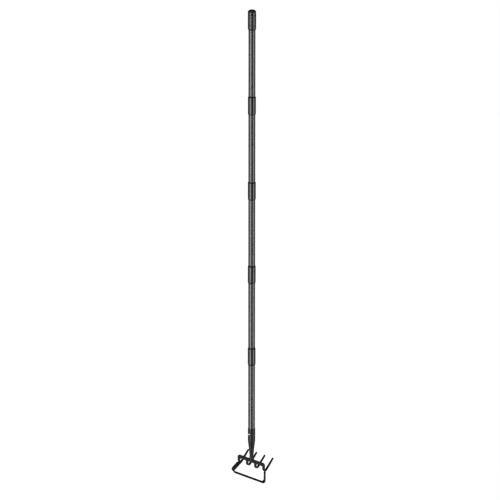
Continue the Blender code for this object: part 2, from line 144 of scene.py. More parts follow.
# ---- cultivator comb ---------------------------------------------------------------------------
TINE_SPACING = 0.0425
PLATE = 0.0040
COMB_Y = -0.0015
BAR_HEIGHT = 0.0128
BAR_CORNER = 0.010
BAR_HELD = 0.018             # the bar's ends are drawn in over this length
OUTER_EXTRA = 0.0015
LEG_WIDTH = 0.0090
LEG_LENGTH = 0.0098
HOOK_RADIUS = 0.0093
HOOK_TURN = math.radians(90.0 + 43.0)
HOOK_END = LEG_LENGTH + HOOK_RADIUS * HOOK_TURN
HOOK_WIDTH = 0.0074          # a tine's width where its hook ends
TINE_LENGTH = 0.0520
TINE_WIDTH = 0.0052          # a tine's width where its tip starts
TIP_LENGTH = 0.0030
TIP_CORE = 0.0008            # the tip's half width is this at its end, plus an arc of the next
TIP_ARC = 0.0010
NOTCH_RADIUS = 0.0040
PLATE_SLACK = 0.0001         # the plate is this much thinner, so that its edges stay in the CAD box
EDGE_BEVEL = 0.0006

# ---- stirrup -----------------------------------------------------------------------------------
BLADE_SPAN = 0.1715
BLADE_WIDTH = 0.0142
BLADE_THICKNESS = 0.0025
BLADE_TILT = math.radians(54.0)
BLADE_DROP = 0.0364
BLADE_LEAN = 0.0265
ARM_SPREAD = 0.0198
ARM_SHIFT = 0.0042
ARM_TWIST = math.radians(18.0)
ARM_FLARE = 0.0024
BEND_RADIUS = 0.0080
LAND = 0.0009                # thickness that the grinding leaves at the blade's edges
GRIND_WIDTH = 0.0026
ARM_CHAMFER = 0.0004         # chamfer of the strip's edges where it isn't ground
FLAT_POINT = 0.0004          # how far beside an arc the wear has ended

# ---- weld beads --------------------------------------------------------------------------------
RIPPLE = 0.0016
ARM_BEAD = (0.0011, 0.0009)  # half width and half height
NECK_BEAD = (0.0014, 0.0012)
NECK_BEAD_REACH = 0.0088
NECK_BEAD_DROP = 0.0086


# ================================================================================================
# Surfaces
# ================================================================================================

def lengths(points):
    """Distance walked along a row of points, from 0 at the first."""
    steps = np.linalg.norm(np.diff(points, axis=0), axis=1)
    return np.concatenate(([0.0], np.cumsum(steps)))


def unit(vectors):
    """Each vector divided by its own length."""
    vectors = np.asarray(vectors, float)
    return vectors / np.linalg.norm(vectors, axis=-1, keepdims=True)


def rounded(corners, closed=False, steps=6):
    """A profile whose corners are arcs.

    Each corner is (radius, z, rounding). The arc of a corner with rounding q touches both sides, so
    it starts q * tan(half the turn) before the corner; its points are the centre plus q times a
    direction that swings from one side's normal to the other's. Returns the points and, for each,
    1 on an arc tight enough to wear and 0 elsewhere.
    """
    spots = np.array([corner[:2] for corner in corners], float)
    points, worn = [], []
    count = len(corners)
    for index, (_, _, rounding) in enumerate(corners):
        here = spots[index]
        if rounding <= 0 or (not closed and index in (0, count - 1)):
            points.append(here[None, :])
            worn.append(np.zeros(1))
            continue
        back = unit(spots[index - 1] - here)
        ahead = unit(spots[(index + 1) % count] - here)
        half = math.acos(float(np.clip(back @ ahead, -1, 1))) / 2
        centre = here + unit(back + ahead) * rounding / math.sin(half)
        start = here + back * rounding / math.tan(half) - centre
        end = here + ahead * rounding / math.tan(half) - centre
        share = np.linspace(0, 1, steps)[:, None]
        swing = unit(start * (1 - share) + end * share)
        points.append(centre + rounding * swing)
        worn.append(np.full(steps, float(rounding < WORN_ROUNDING)))
    return np.concatenate(points), np.concatenate(worn)


def filled(points, worn, longest):
    """The same profile with extra points, so that no step is longer than a given length."""
    parts, marks = [points[:1]], [worn[:1]]
    for first, second, a, b in zip(points, points[1:], worn, worn[1:]):
        count = max(1, math.ceil(np.linalg.norm(second - first) / longest))
        share = np.linspace(0, 1, count + 1)[1:, None]
        parts.append(first * (1 - share) + second * share)
        marks.append(a * b * np.ones(count) if count == 1 else np.where(share[:, 0] == 1, b, 0.0))
    return np.concatenate(parts), np.concatenate(marks)


def grid_faces(rows, columns, wrap_rows=False, wrap_columns=True):
    """Four-cornered faces of a grid of points, as an array of indices."""
    row = np.arange(rows if wrap_rows else rows - 1)
    column = np.arange(columns if wrap_columns else columns - 1)
    row, column = np.meshgrid(row, column, indexing="ij")
    below = (row + 1) % rows
    beside = (column + 1) % columns
    here, under = row * columns, below * columns
    return np.stack((here + column, here + beside, under + beside, under + column), -1).reshape(-1, 4)


def piece(name, points, faces, body, stands_for, finish, masks, sharp=40.0):
    """Makes a mesh from arrays, welds poles and seams, ties it to its CAD body and hides the CAD nodes it
    stands for.
    """
    mesh = bpy.data.meshes.new(name)
    mesh.from_pydata(np.asarray(points, float).reshape(-1, 3).tolist(), [], faces.tolist())
    for label, values in masks.items():
        spread = np.broadcast_to(values, np.asarray(points).shape[:-1]).astype(np.float32).ravel()
        mesh.attributes.new(label, "FLOAT", "POINT").data.foreach_set("value", spread)
    item = bpy.data.objects.new(name, mesh)
    bpy.context.scene.collection.objects.link(item)
    weld(mesh)
    mesh.shade_smooth()
    mesh.set_sharp_from_angle(angle=math.radians(sharp))
    mesh.materials.append(finish)
    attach(item, body)
    if stands_for:
        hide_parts(*stands_for)
    return item


def weld(mesh):
    """Merges points that lie on each other, drops faces without area and turns the rest outwards."""
    bm = bmesh.new()
    bm.from_mesh(mesh)
    bmesh.ops.remove_doubles(bm, verts=bm.verts, dist=MERGE)
    bmesh.ops.dissolve_degenerate(bm, edges=bm.edges, dist=MERGE / 10)
    bmesh.ops.recalc_face_normals(bm, faces=bm.faces)
    bm.to_mesh(mesh)
    bm.free()


def turned(name, corners, body, stands_for, finish, closed=False, sides=SIDES,
           longest=0.02, thread=None):
    """A turned piece: point (i, j) is profile point i, its radius swung to angle j round the axis.

    A thread takes off, at every point, its depth times how far the point lies from the crest.
    """
    points, worn = rounded(corners, closed)
    if closed:
        points = np.concatenate((points, points[:1]))
        worn = np.concatenate((worn, worn[:1]))
    points, worn = filled(points, worn, longest)
    if thread is not None:
        points, worn = thread["rows"](points, worn)
    angle = np.linspace(0, 2 * math.pi, sides, endpoint=False)
    radius = np.repeat(points[:, :1], sides, axis=1)
    height = np.repeat(points[:, 1:], sides, axis=1)
    if thread is not None:
        radius = radius + thread["relief"](radius, height, angle[None, :])
    grid = np.stack((radius * np.cos(angle), radius * np.sin(angle), height), -1)
    faces = grid_faces(len(points), sides)
    masks = {"rim": np.repeat(worn[:, None], sides, axis=1)}
    return piece(name, grid, faces, body, stands_for, finish, masks)


def ridge(height, angle):
    """Thread form: 0 on the crest and 1 in the root, a right-hand helix with one start.

    The phase is height over pitch less the turn, and the form is a triangle wave with its tips cut.
    """
    phase = (height / THREAD_PITCH - angle / (2 * math.pi)) % 1.0
    triangle = 1.0 - np.abs(2.0 * phase - 1.0)
    return np.clip(1.35 * triangle - 0.15, 0.0, 1.0)


def threaded(start, end, radius):
    """A thread between two heights on the wall of a given radius, as two functions.

    The first adds rows of points to the wall. The second says how far each of its points moves in:
    the thread's depth times its form, which dies out evenly towards both ends.
    """
    def rows(points, worn):
        """The profile with the wall's rows as close as a thread needs."""
        on_wall = np.abs(points[:, 0] - radius) < ON_WALL
        inside = on_wall[:-1] & on_wall[1:]
        parts, marks = [points[:1]], [worn[:1]]
        for first, second, mark, dense in zip(points, points[1:], worn[1:], inside):
            run = abs(second[1] - first[1])
            count = max(1, math.ceil(run / (THREAD_PITCH / ROWS_PER_TURN))) if dense else 1
            share = np.linspace(0, 1, count + 1)[1:, None]
            parts.append(first * (1 - share) + second * share)
            marks.append(np.repeat(mark if count == 1 else 0.0, count))
        return np.concatenate(parts), np.concatenate(marks)

    def relief(radii, heights, angle):
        """How far each point's radius changes."""
        on_wall = np.abs(radii - radius) < ON_WALL
        ends = np.clip(np.minimum(heights - start, end - heights) / THREAD_FADE, 0, 1)
        shift = -THREAD_DEPTH * ridge(heights, angle)
        return np.where(on_wall, shift * ends, 0.0)

    return {"rows": rows, "relief": relief}


def swept(path, across, upward, section):
    """A section carried along a path.

    Point (i, j) is path i plus section j laid on the two directions there.
    """
    sideways = across[:, None, :] * section[..., 0:1]
    return path[:, None, :] + sideways + upward[:, None, :] * section[..., 1:2]


def capped(grid):
    """Closes both ends of a sweep by adding a ring drawn in to its middle at each end."""
    first = np.repeat(grid[0].mean(0)[None, :], grid.shape[1], axis=0)
    last = np.repeat(grid[-1].mean(0)[None, :], grid.shape[1], axis=0)
    return np.concatenate((first[None], grid, last[None]))


def along_path(places, walked, values):
    """Values given at the points of a path, read off at other distances along it."""
    values = np.asarray(values, float)
    return np.stack([np.interp(places, walked, values[:, axis]) for axis in range(3)], -1)


def bead(name, path, normal, size, finish):
    """A weld bead on the head: a flattened round section carried along a path over a surface.

    Its size swells by a tenth once in every ripple length, and tapers to nothing at both ends over
    a bead's width, as the square root of the distance left.
    """
    width, height = size
    walked = lengths(path)
    count = max(24, int(walked[-1] / BEAD_STEP))
    at = np.linspace(0, walked[-1], count)
    line = along_path(at, walked, path)
    normals = unit(along_path(at, walked, normal))
    ahead = unit(np.gradient(line, axis=0))
    side = unit(np.cross(ahead, normals))
    ends = np.sqrt(np.clip(np.minimum(at, at[-1] - at) / width, 0, 1))
    swell = ends * (1 + 0.10 * np.cos(2 * math.pi * at / RIPPLE)) * (1 + 0.06 * np.sin(at * 900.0))
    angle = np.linspace(0, 2 * math.pi, BEAD_SIDES, endpoint=False)
    shape = np.stack((np.cos(angle) * width, np.sin(angle) * height), -1)
    section = shape[None] * np.maximum(swell, 1e-4)[:, None, None]
    grid = swept(line, side, normals, section)
    return piece(name, capped(grid), grid_faces(count + 2, BEAD_SIDES), "head_section", (),
                 finish, {"rim": 0.0}, sharp=70.0)


def carve(item, cutters):
    """Cuts closed shapes out of a piece with an exact Boolean, and keeps the result as its mesh."""
    for tool in cutters:
        cut = item.modifiers.new("cut", "BOOLEAN")
        cut.operation = "DIFFERENCE"
        cut.solver = "EXACT"
        cut.object = tool
    bpy.context.view_layer.update()
    shown = item.evaluated_get(bpy.context.evaluated_depsgraph_get())
    mesh = bpy.data.meshes.new_from_object(shown)
    item.modifiers.clear()
    old = item.data
    item.data = mesh
    bpy.data.meshes.remove(old)
    mesh.name = item.name
    mesh.set_sharp_from_angle(angle=math.radians(40))
    for tool in cutters:
        bpy.data.objects.remove(tool)


def cutter(points, faces):
    """A closed shape for carve(), not part of the object."""
    mesh = bpy.data.meshes.new("cutter")
    mesh.from_pydata(np.asarray(points, float).reshape(-1, 3).tolist(), [], faces.tolist())
    weld(mesh)
    item = bpy.data.objects.new("cutter", mesh)
    bpy.context.scene.collection.objects.link(item)
    return item


def drill(start, end, radii, sides=48):
    """A round cutter between two points, whose radius is given at even steps between them."""
    start, end = np.asarray(start, float), np.asarray(end, float)
    share = np.linspace(0, 1, len(radii))
    line = start + (end - start) * share[:, None]
    ahead = unit(end - start)
    side = unit(np.cross(ahead, (0.0, 0.0, 1.0) if abs(ahead[2]) < 0.9 else (1.0, 0.0, 0.0)))
    third = np.cross(ahead, side)
    angle = np.linspace(0, 2 * math.pi, sides, endpoint=False)
    circle = np.stack((np.cos(angle), np.sin(angle)), -1)
    section = circle[None] * np.asarray(radii, float)[:, None, None]
    grid = swept(line, np.tile(side, (len(line), 1)), np.tile(third, (len(line), 1)), section)
    return cutter(capped(grid), grid_faces(len(line) + 2, sides))


def block(low, high):
    """A box cutter between two corners: a square section carried from the low to the high side."""
    low, high = np.asarray(low, float), np.asarray(high, float)
    line = np.array([[low[0], 0, 0], [high[0], 0, 0]])
    section = np.array([[low[1], low[2]], [high[1], low[2]], [high[1], high[2]], [low[1], high[2]]])
    grid = swept(line, np.tile((0.0, 1.0, 0.0), (2, 1)), np.tile((0.0, 0.0, 1.0), (2, 1)), section)
    return cutter(capped(grid), grid_faces(4, 4))


# ================================================================================================
# Finishes
# ================================================================================================

class Wire:
    """A value or colour inside a finish, which can be used in a formula."""

    def __init__(self, finish, socket):
        self.finish = finish
        self.socket = socket

    def maths(self, operation, first, second, clamp=False):
        """One step of arithmetic."""
        settings = {"operation": operation, "use_clamp": clamp}
        return self.finish.add("ShaderNodeMath", settings, {0: first, 1: second})

    def __add__(self, other):
        return self.maths("ADD", self, other)

    def __radd__(self, other):
        return self.maths("ADD", other, self)

    def __sub__(self, other):
        return self.maths("SUBTRACT", self, other)

    def __rsub__(self, other):
        return self.maths("SUBTRACT", other, self)

    def __mul__(self, other):
        return self.maths("MULTIPLY", self, other)

    def __rmul__(self, other):
        return self.maths("MULTIPLY", other, self)

    def above(self, edge, soft):
        """0 below an edge and 1 above it, over a soft step."""
        return self.maths("MULTIPLY", self - (edge - soft / 2), 1.0 / soft, clamp=True)


class Finish:
    """A procedural material: nodes are added one by one and wired to the Principled shader."""

    def __init__(self, name):
        self.material = bpy.data.materials.new(name)
        self.material.use_nodes = True
        self.tree = self.material.node_tree
        self.shader = self.tree.nodes["Principled BSDF"]
        self.at = self.add("ShaderNodeTexCoord", output="Object")

    def add(self, kind, settings=None, sockets=None, output=0):
        """Adds a node: its settings first, then the values or links of its sockets."""
        node = self.tree.nodes.new(kind)
        for key, value in (settings or {}).items():
            setattr(node, key, value)
        for key, value in (sockets or {}).items():
            self.feed(node.inputs[key], value)
        return Wire(self, node.outputs[output])

    def feed(self, socket, value):
        """Gives a socket a wire or a plain value."""
        if isinstance(value, Wire):
            self.tree.links.new(value.socket, socket)
        else:
            socket.default_value = value

    def stretched(self, x, y, z):
        """Object coordinates multiplied along each axis."""
        return self.add("ShaderNodeVectorMath", {"operation": "MULTIPLY"}, {0: self.at, 1: (x, y, z)})

    def noise(self, scale, detail=2.0, at=None, rough=0.5):
        """Soft random pattern around a half, whose spots are about one over the scale across."""
        sockets = {"Vector": at or self.at, "Scale": scale, "Detail": detail, "Roughness": rough}
        return self.add("ShaderNodeTexNoise", None, sockets)

    def cells(self, scale):
        """Distance to the nearest of many scattered points."""
        return self.add("ShaderNodeTexVoronoi", None, {"Vector": self.at, "Scale": scale})

    def mask(self, name):
        """A mask stored on the piece's own points."""
        return self.add("ShaderNodeAttribute", {"attribute_name": name}, output="Fac")

    def blend(self, share, first, second):
        """Colour that goes from the first to the second with the share."""
        sockets = {0: share, 6: self.colour(first), 7: self.colour(second)}
        return self.add("ShaderNodeMix", {"data_type": "RGBA"}, sockets, output=2)

    @staticmethod
    def colour(value):
        """A colour as a socket takes it."""
        return value if isinstance(value, Wire) else (*value, 1.0)

    def finish(self, colour, roughness, metallic, height, depth, **constants):
        """Wires colour, roughness, metal and bump, whose depth is in metres."""
        self.feed(self.shader.inputs["Base Color"], self.colour(colour))
        self.feed(self.shader.inputs["Roughness"], roughness)
        self.feed(self.shader.inputs["Metallic"], metallic)
        bump = self.add("ShaderNodeBump", None, {"Strength": 1.0, "Distance": depth, "Height": height})
        self.feed(self.shader.inputs["Normal"], bump)
        for name, value in constants.items():
            self.shader.inputs[name.replace("_", " ")].default_value = value
        return self.material


def powder_coat(name, dark, light, roughness, steel=(0.20, 0.20, 0.21), wear=0.0, shine=0.55):
    """Satin powder coat: orange peel about a millimetre and a half across, a fine grit in it, faint
    long rub marks, and bare steel where a rim is chipped."""
    coat = Finish(name)
    peel = coat.noise(620.0, 1.0)
    grit = coat.noise(3600.0, 2.0)
    cloud = coat.noise(26.0, 4.0)
    rubbed = coat.noise(1.0, 5.0, coat.stretched(900.0, 900.0, 16.0)).above(0.60, 0.10)
    speck = 1 - coat.cells(1500.0).above(0.16, 0.08)
    chips = coat.noise(480.0, 6.0, rough=0.65) * coat.mask("rim")
    chipped = chips.above(0.66 - 0.04 * wear, 0.05)
    paint = coat.blend(cloud.above(0.5, 0.5), dark, light)
    paint = coat.blend(rubbed * 0.25 + speck * 0.18, paint, tuple(1.6 * part for part in light))
    colour = coat.blend(chipped, paint, steel)
    rough = roughness + 0.10 * (cloud - 0.5) + 0.07 * rubbed + 0.05 * (grit - 0.5)
    height = peel * 0.7 + grit * 0.25 - chipped * 0.8
    return coat.finish(colour, rough, chipped * 0.9, height, 0.00003, Specular_IOR_Level=shine)


def moulded(name, dark, light, roughness, grain, depth):
    """Moulded plastic: a fine spark-eroded grain, soft clouds of shade, and rims rubbed lighter."""
    plastic = Finish(name)
    pits = plastic.cells(grain)
    grit = plastic.noise(2.4 * grain, 2.0)
    cloud = plastic.noise(40.0, 3.0)
    marks = plastic.noise(1.0, 4.0, plastic.stretched(60.0, 60.0, 1400.0)).above(0.64, 0.06)
    rubbed = (plastic.noise(300.0, 5.0) * plastic.mask("rim")).above(0.52, 0.2)
    base = plastic.blend(cloud.above(0.5, 0.6), dark, light)
    colour = plastic.blend(rubbed * 0.5 + marks * 0.12, base, tuple(2.4 * part for part in light))
    rough = roughness + 0.10 * (cloud - 0.5) + 0.06 * marks - 0.08 * rubbed
    height = pits * 0.6 + grit * 0.4 - marks * 0.25
    return plastic.finish(colour, rough, 0.0, height, depth, Specular_IOR_Level=0.5)


def plated(name):
    """Bright zinc plate: fine lathe lines round the axis, grey-blue and straw clouds, dull spots."""
    zinc = Finish(name)
    lines = zinc.noise(1.0, 3.0, zinc.stretched(40.0, 40.0, 9000.0))
    cloud = zinc.noise(160.0, 4.0)
    dull = zinc.noise(700.0, 5.0).above(0.58, 0.12)
    base = zinc.blend(cloud.above(0.5, 0.4), (0.50, 0.53, 0.57), (0.62, 0.60, 0.52))
    colour = zinc.blend(dull * 0.5, base, (0.30, 0.30, 0.31))
    rough = 0.26 + 0.14 * (lines - 0.5) + 0.18 * dull
    return zinc.finish(colour, rough, 1.0, lines * 0.6 - dull * 0.4, 0.000015)


def rubber(name):
    """Cut rubber sheet: matt, with fine pores."""
    sheet = Finish(name)
    pores = sheet.cells(2600.0)
    cloud = sheet.noise(220.0, 3.0)
    colour = sheet.blend(cloud, (0.026, 0.026, 0.027), (0.042, 0.042, 0.043))
    return sheet.finish(colour, 0.72 + 0.2 * (cloud - 0.5), 0.0, pores * 0.7 + cloud * 0.3, 0.00005)


# ================================================================================================
# Pieces
# ================================================================================================

def low(node):
    """Height of a CAD node's lowest point."""
    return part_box(node)[0].z


def high(node):
    """Height of a CAD node's highest point."""
    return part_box(node)[1].z


def comb_top():
    """Height of the comb's top edge, which the socket's foot straddles."""
    return low("head_socket") + FOOT_LAP


def section_body(number):
    """CAD body of a pole section, counted from the top."""
    if number == 1:
        return "top_section"
    return "head_section" if number == SECTIONS else f"section_{number}"


def make_cap(finish):
    """End cap: a dome that is a quarter of an ellipse, a straight side, a shank, and a cross hole."""
    top = high("end_cap")
    base = high("hand_grip") + GAP
    side = base + CAP_SIDE
    angle = np.radians(np.linspace(0, 90, 22))
    dome = [(GRIP_RADIUS * math.cos(turn), side + (top - side) * math.sin(turn), 0.0) for turn in angle]
    bottom = low("end_cap")
    corners = [
        (0.0, bottom, 0.0),
        (PLUG_RADIUS, bottom, 0.0008),
        (PLUG_RADIUS, base, 0.0),
        (GRIP_RADIUS, base, 0.0007),
    ] + dome[:-1] + [(0.0, top, 0.0)]
    cap = turned("end_cap_shell", corners, "top_section", ("end_cap",), finish)
    along = np.array((math.sin(HOLE_TURN), -math.cos(HOLE_TURN), 0.0)) * HOLE_REACH
    centre = np.array((0.0, 0.0, top - HOLE_DROP))
    share = np.linspace(-1, 1, 41)
    radii = HOLE_RADIUS + HOLE_FLARE * np.clip((np.abs(share) - 0.86) / 0.14, 0, 1) ** 2
    carve(cap, [drill(centre - along, centre + along, radii)])


def make_grip(finish):
    """Grip sleeve: straight, with a round-bottomed ring groove, and a taper at its lower end."""
    top, bottom = high("hand_grip"), low("hand_grip")
    groove = top - GROOVE_DROP
    floor = GRIP_RADIUS - GROOVE_DEPTH
    corners = [
        (BORE_RADIUS, bottom, 0.0),
        (BORE_RADIUS + GRIP_LIP, bottom, 0.0002),
        (GRIP_RADIUS, bottom + GRIP_TAPER, 0.004),
        (GRIP_RADIUS, groove - GROOVE_HALF, 0.0005),
        (floor, groove - GROOVE_FLOOR, 0.0004),
        (floor, groove + GROOVE_FLOOR, 0.0004),
        (GRIP_RADIUS, groove + GROOVE_HALF, 0.0005),
        (GRIP_RADIUS, top, 0.0008),
        (BORE_RADIUS, top, 0.0),
    ]
    turned("grip_sleeve", corners, "top_section", ("hand_grip",), finish, closed=True)


def make_tube(number, finish):
    """Pole tube: a thin round wall with both ends deburred."""
    node = f"tube_{number}"
    top, bottom = high(node), low(node)
    inner = TUBE_RADIUS - TUBE_WALL
    corners = [
        (inner, bottom, 0.0003),
        (TUBE_RADIUS, bottom, 0.0004),
        (TUBE_RADIUS, top, 0.0004),
        (inner, top, 0.0003),
    ]
    turned(f"pole_tube_{number}", corners, section_body(number), (node,), finish,
           closed=True)


def make_collar(number, finish):
    """Threaded collar: chamfered rim, straight side, tapered lower end, and a threaded bore above
    the tube's seat."""
    node = f"joint_collar_{number}"
    top, bottom = high(node), low(node)
    seat = top - SEAT_DROP
    corners = [
        (BORE_RADIUS, seat, 0.0),
        (BORE_RADIUS, bottom, 0.0002),
        (BORE_RADIUS + COLLAR_LIP, bottom, 0.0002),
        (COLLAR_RADIUS, bottom + COLLAR_TAPER, 0.003),
        (COLLAR_RADIUS, top - RIM_HEIGHT, 0.0010),
        (COLLAR_RADIUS - RIM_WIDTH, top, 0.0006),
        (THREAD_BORE + MOUTH_WIDTH, top, 0.0002),
        (THREAD_BORE, top - MOUTH_HEIGHT, 0.0),
        (THREAD_BORE, seat, 0.0),
    ]
    thread = threaded(seat + 0.0005, top - 0.0010, THREAD_BORE)
    turned(f"pole_collar_{number}", corners, section_body(number + 1), (node,),
           finish, closed=True, thread=thread)


def make_stud(number, finish):
    """Threaded stud: a plug pressed into the tube above, a right-hand thread and a chamfered tip."""
    node = f"threaded_stud_{number}"
    top, bottom = high(node), low(node)
    shoulder = low(f"tube_{number}")
    corners = [
        (0.0, bottom, 0.0),
        (THREAD_RADIUS - TIP_CHAMFER, bottom, 0.0003),
        (THREAD_RADIUS, bottom + TIP_CHAMFER, 0.0),
        (THREAD_RADIUS, shoulder, 0.0),
        (PLUG_RADIUS, shoulder, 0.0003),
        (PLUG_RADIUS, top, 0.0006),
        (0.0, top, 0.0),
    ]
    thread = threaded(bottom, shoulder - 0.0004, THREAD_RADIUS)
    turned(f"pole_stud_{number}", corners, section_body(number), (node,), finish, thread=thread)


def make_washer(number, finish):
    """Flat washer with slightly rounded edges, swollen to fill its joint all but a hair."""
    node = f"joint_washer_{number}"
    top, bottom = high(node) + WASHER_SWELL, low(node) - WASHER_SWELL
    corners = [
        (THREAD_BORE, bottom, 0.0002),
        (TUBE_RADIUS, bottom, 0.0004),
        (TUBE_RADIUS, top, 0.0004),
        (THREAD_BORE, top, 0.0002),
    ]
    turned(f"rubber_washer_{number}", corners, f"washer_{number}", (node,), finish,
           closed=True)


def make_socket(finish):
    """Head socket: sleeve with a rolled mouth, swaged cone, neck, and a foot slotted over the comb."""
    top, foot = high("head_socket"), low("head_socket")
    comb = comb_top()
    cone = top - CONE_DROP
    shoulder = top - SHOULDER_DROP
    seat = top - SEAT_DEPTH
    ledge = SOCKET_RADIUS - LEDGE
    corners = [
        (0.0, foot, 0.0),
        (FOOT_RADIUS, foot, 0.0008),
        (FOOT_RADIUS, comb, 0.004),
        (NECK_RADIUS, comb + FOOT_LAP, 0.006),
        (NECK_RADIUS, top - NECK_DROP, 0.030),
        (SHOULDER_RADIUS, shoulder, 0.060),
        (SOCKET_RADIUS, cone, 0.020),
        (SOCKET_RADIUS, top, 0.0006),
        (BORE_RADIUS, top, 0.0003),
        (BORE_RADIUS, seat, 0.0),
        (ledge, seat, 0.0),
        (ledge, cone, 0.0),
        (CAVITY_RADIUS, shoulder, 0.0),
        (CAVITY_TIP, shoulder - CAVITY_END, 0.0),
        (0.0, shoulder - CAVITY_END, 0.0),
    ]
    socket = turned("socket_shell", corners, "head_section", ("head_socket",), finish,
                    longest=0.004)
    half = PLATE / 2 + GAP
    slot = block((-SLOT_HALF, COMB_Y - half, foot - 0.01), (SLOT_HALF, COMB_Y + half, comb + GAP))
    height = top - SCREW_DROP
    hole = drill((0, -PLUG_RADIUS, height), (0, -0.03, height), np.full(4, SCREW_HOLE))
    carve(socket, [slot, hole])


def make_screw(finish):
    """Pan-head screw with a crossed recess, lying along Y through the socket's near side."""
    height = high("head_socket") - SCREW_DROP
    under = SOCKET_RADIUS + GAP
    outer = under + HEAD_HEIGHT
    end = under - SCREW_LENGTH
    corners = [
        (0.0, end, 0.0),
        (SCREW_RADIUS - SCREW_POINT, end, 0.0),
        (SCREW_RADIUS, end + SCREW_POINT, 0.0),
        (SCREW_RADIUS, under, 0.0),
        (HEAD_RADIUS, under, 0.0002),
        (HEAD_RADIUS, under + HEAD_SIDE, 0.0012),
        (HEAD_FLAT, outer, 0.0030),
        (0.0, outer, 0.0),
    ]
    screw = turned("socket_screw_body", corners, "head_section", ("socket_screw",), finish,
                   sides=64)
    points = np.zeros(len(screw.data.vertices) * 3)
    screw.data.vertices.foreach_get("co", points)
    points = points.reshape(-1, 3)
    laid = np.stack((points[:, 0], -points[:, 2], height + points[:, 1]), -1)
    screw.data.vertices.foreach_set("co", laid.ravel())
    near, far = -outer - 0.002, -outer + RECESS_DEPTH
    arms = []
    for reach, half in ((RECESS_REACH, RECESS_HALF), (RECESS_HALF, RECESS_REACH)):
        arms.append(block((-reach, near, height - half), (reach, far, height + half)))
    carve(screw, arms)


def comb_places(x, drop):
    """Where points of the flat blank land once the tines are bent.

    Down to the end of the leg the plate hangs straight. Then it follows an arc of the hook's radius,
    and past the hook's turn it runs straight again along the arc's last direction.
    """
    straight = BAR_HEIGHT + LEG_LENGTH
    angle = np.clip((drop - straight) / HOOK_RADIUS, 0, HOOK_TURN)
    past = np.maximum(0.0, drop - straight - HOOK_RADIUS * HOOK_TURN)
    y = COMB_Y + HOOK_RADIUS * (1 - np.cos(angle)) + past * math.sin(HOOK_TURN)
    z = comb_top() - np.minimum(drop, straight) - HOOK_RADIUS * np.sin(angle) - past * math.cos(HOOK_TURN)
    return np.stack(np.broadcast_arrays(x, y, z), -1)


def circle_height(radius, offsets):
    """Height of a circle's edge over its middle line: the root of radius squared less offset squared."""
    return np.sqrt(np.maximum(0, radius ** 2 - offsets ** 2))


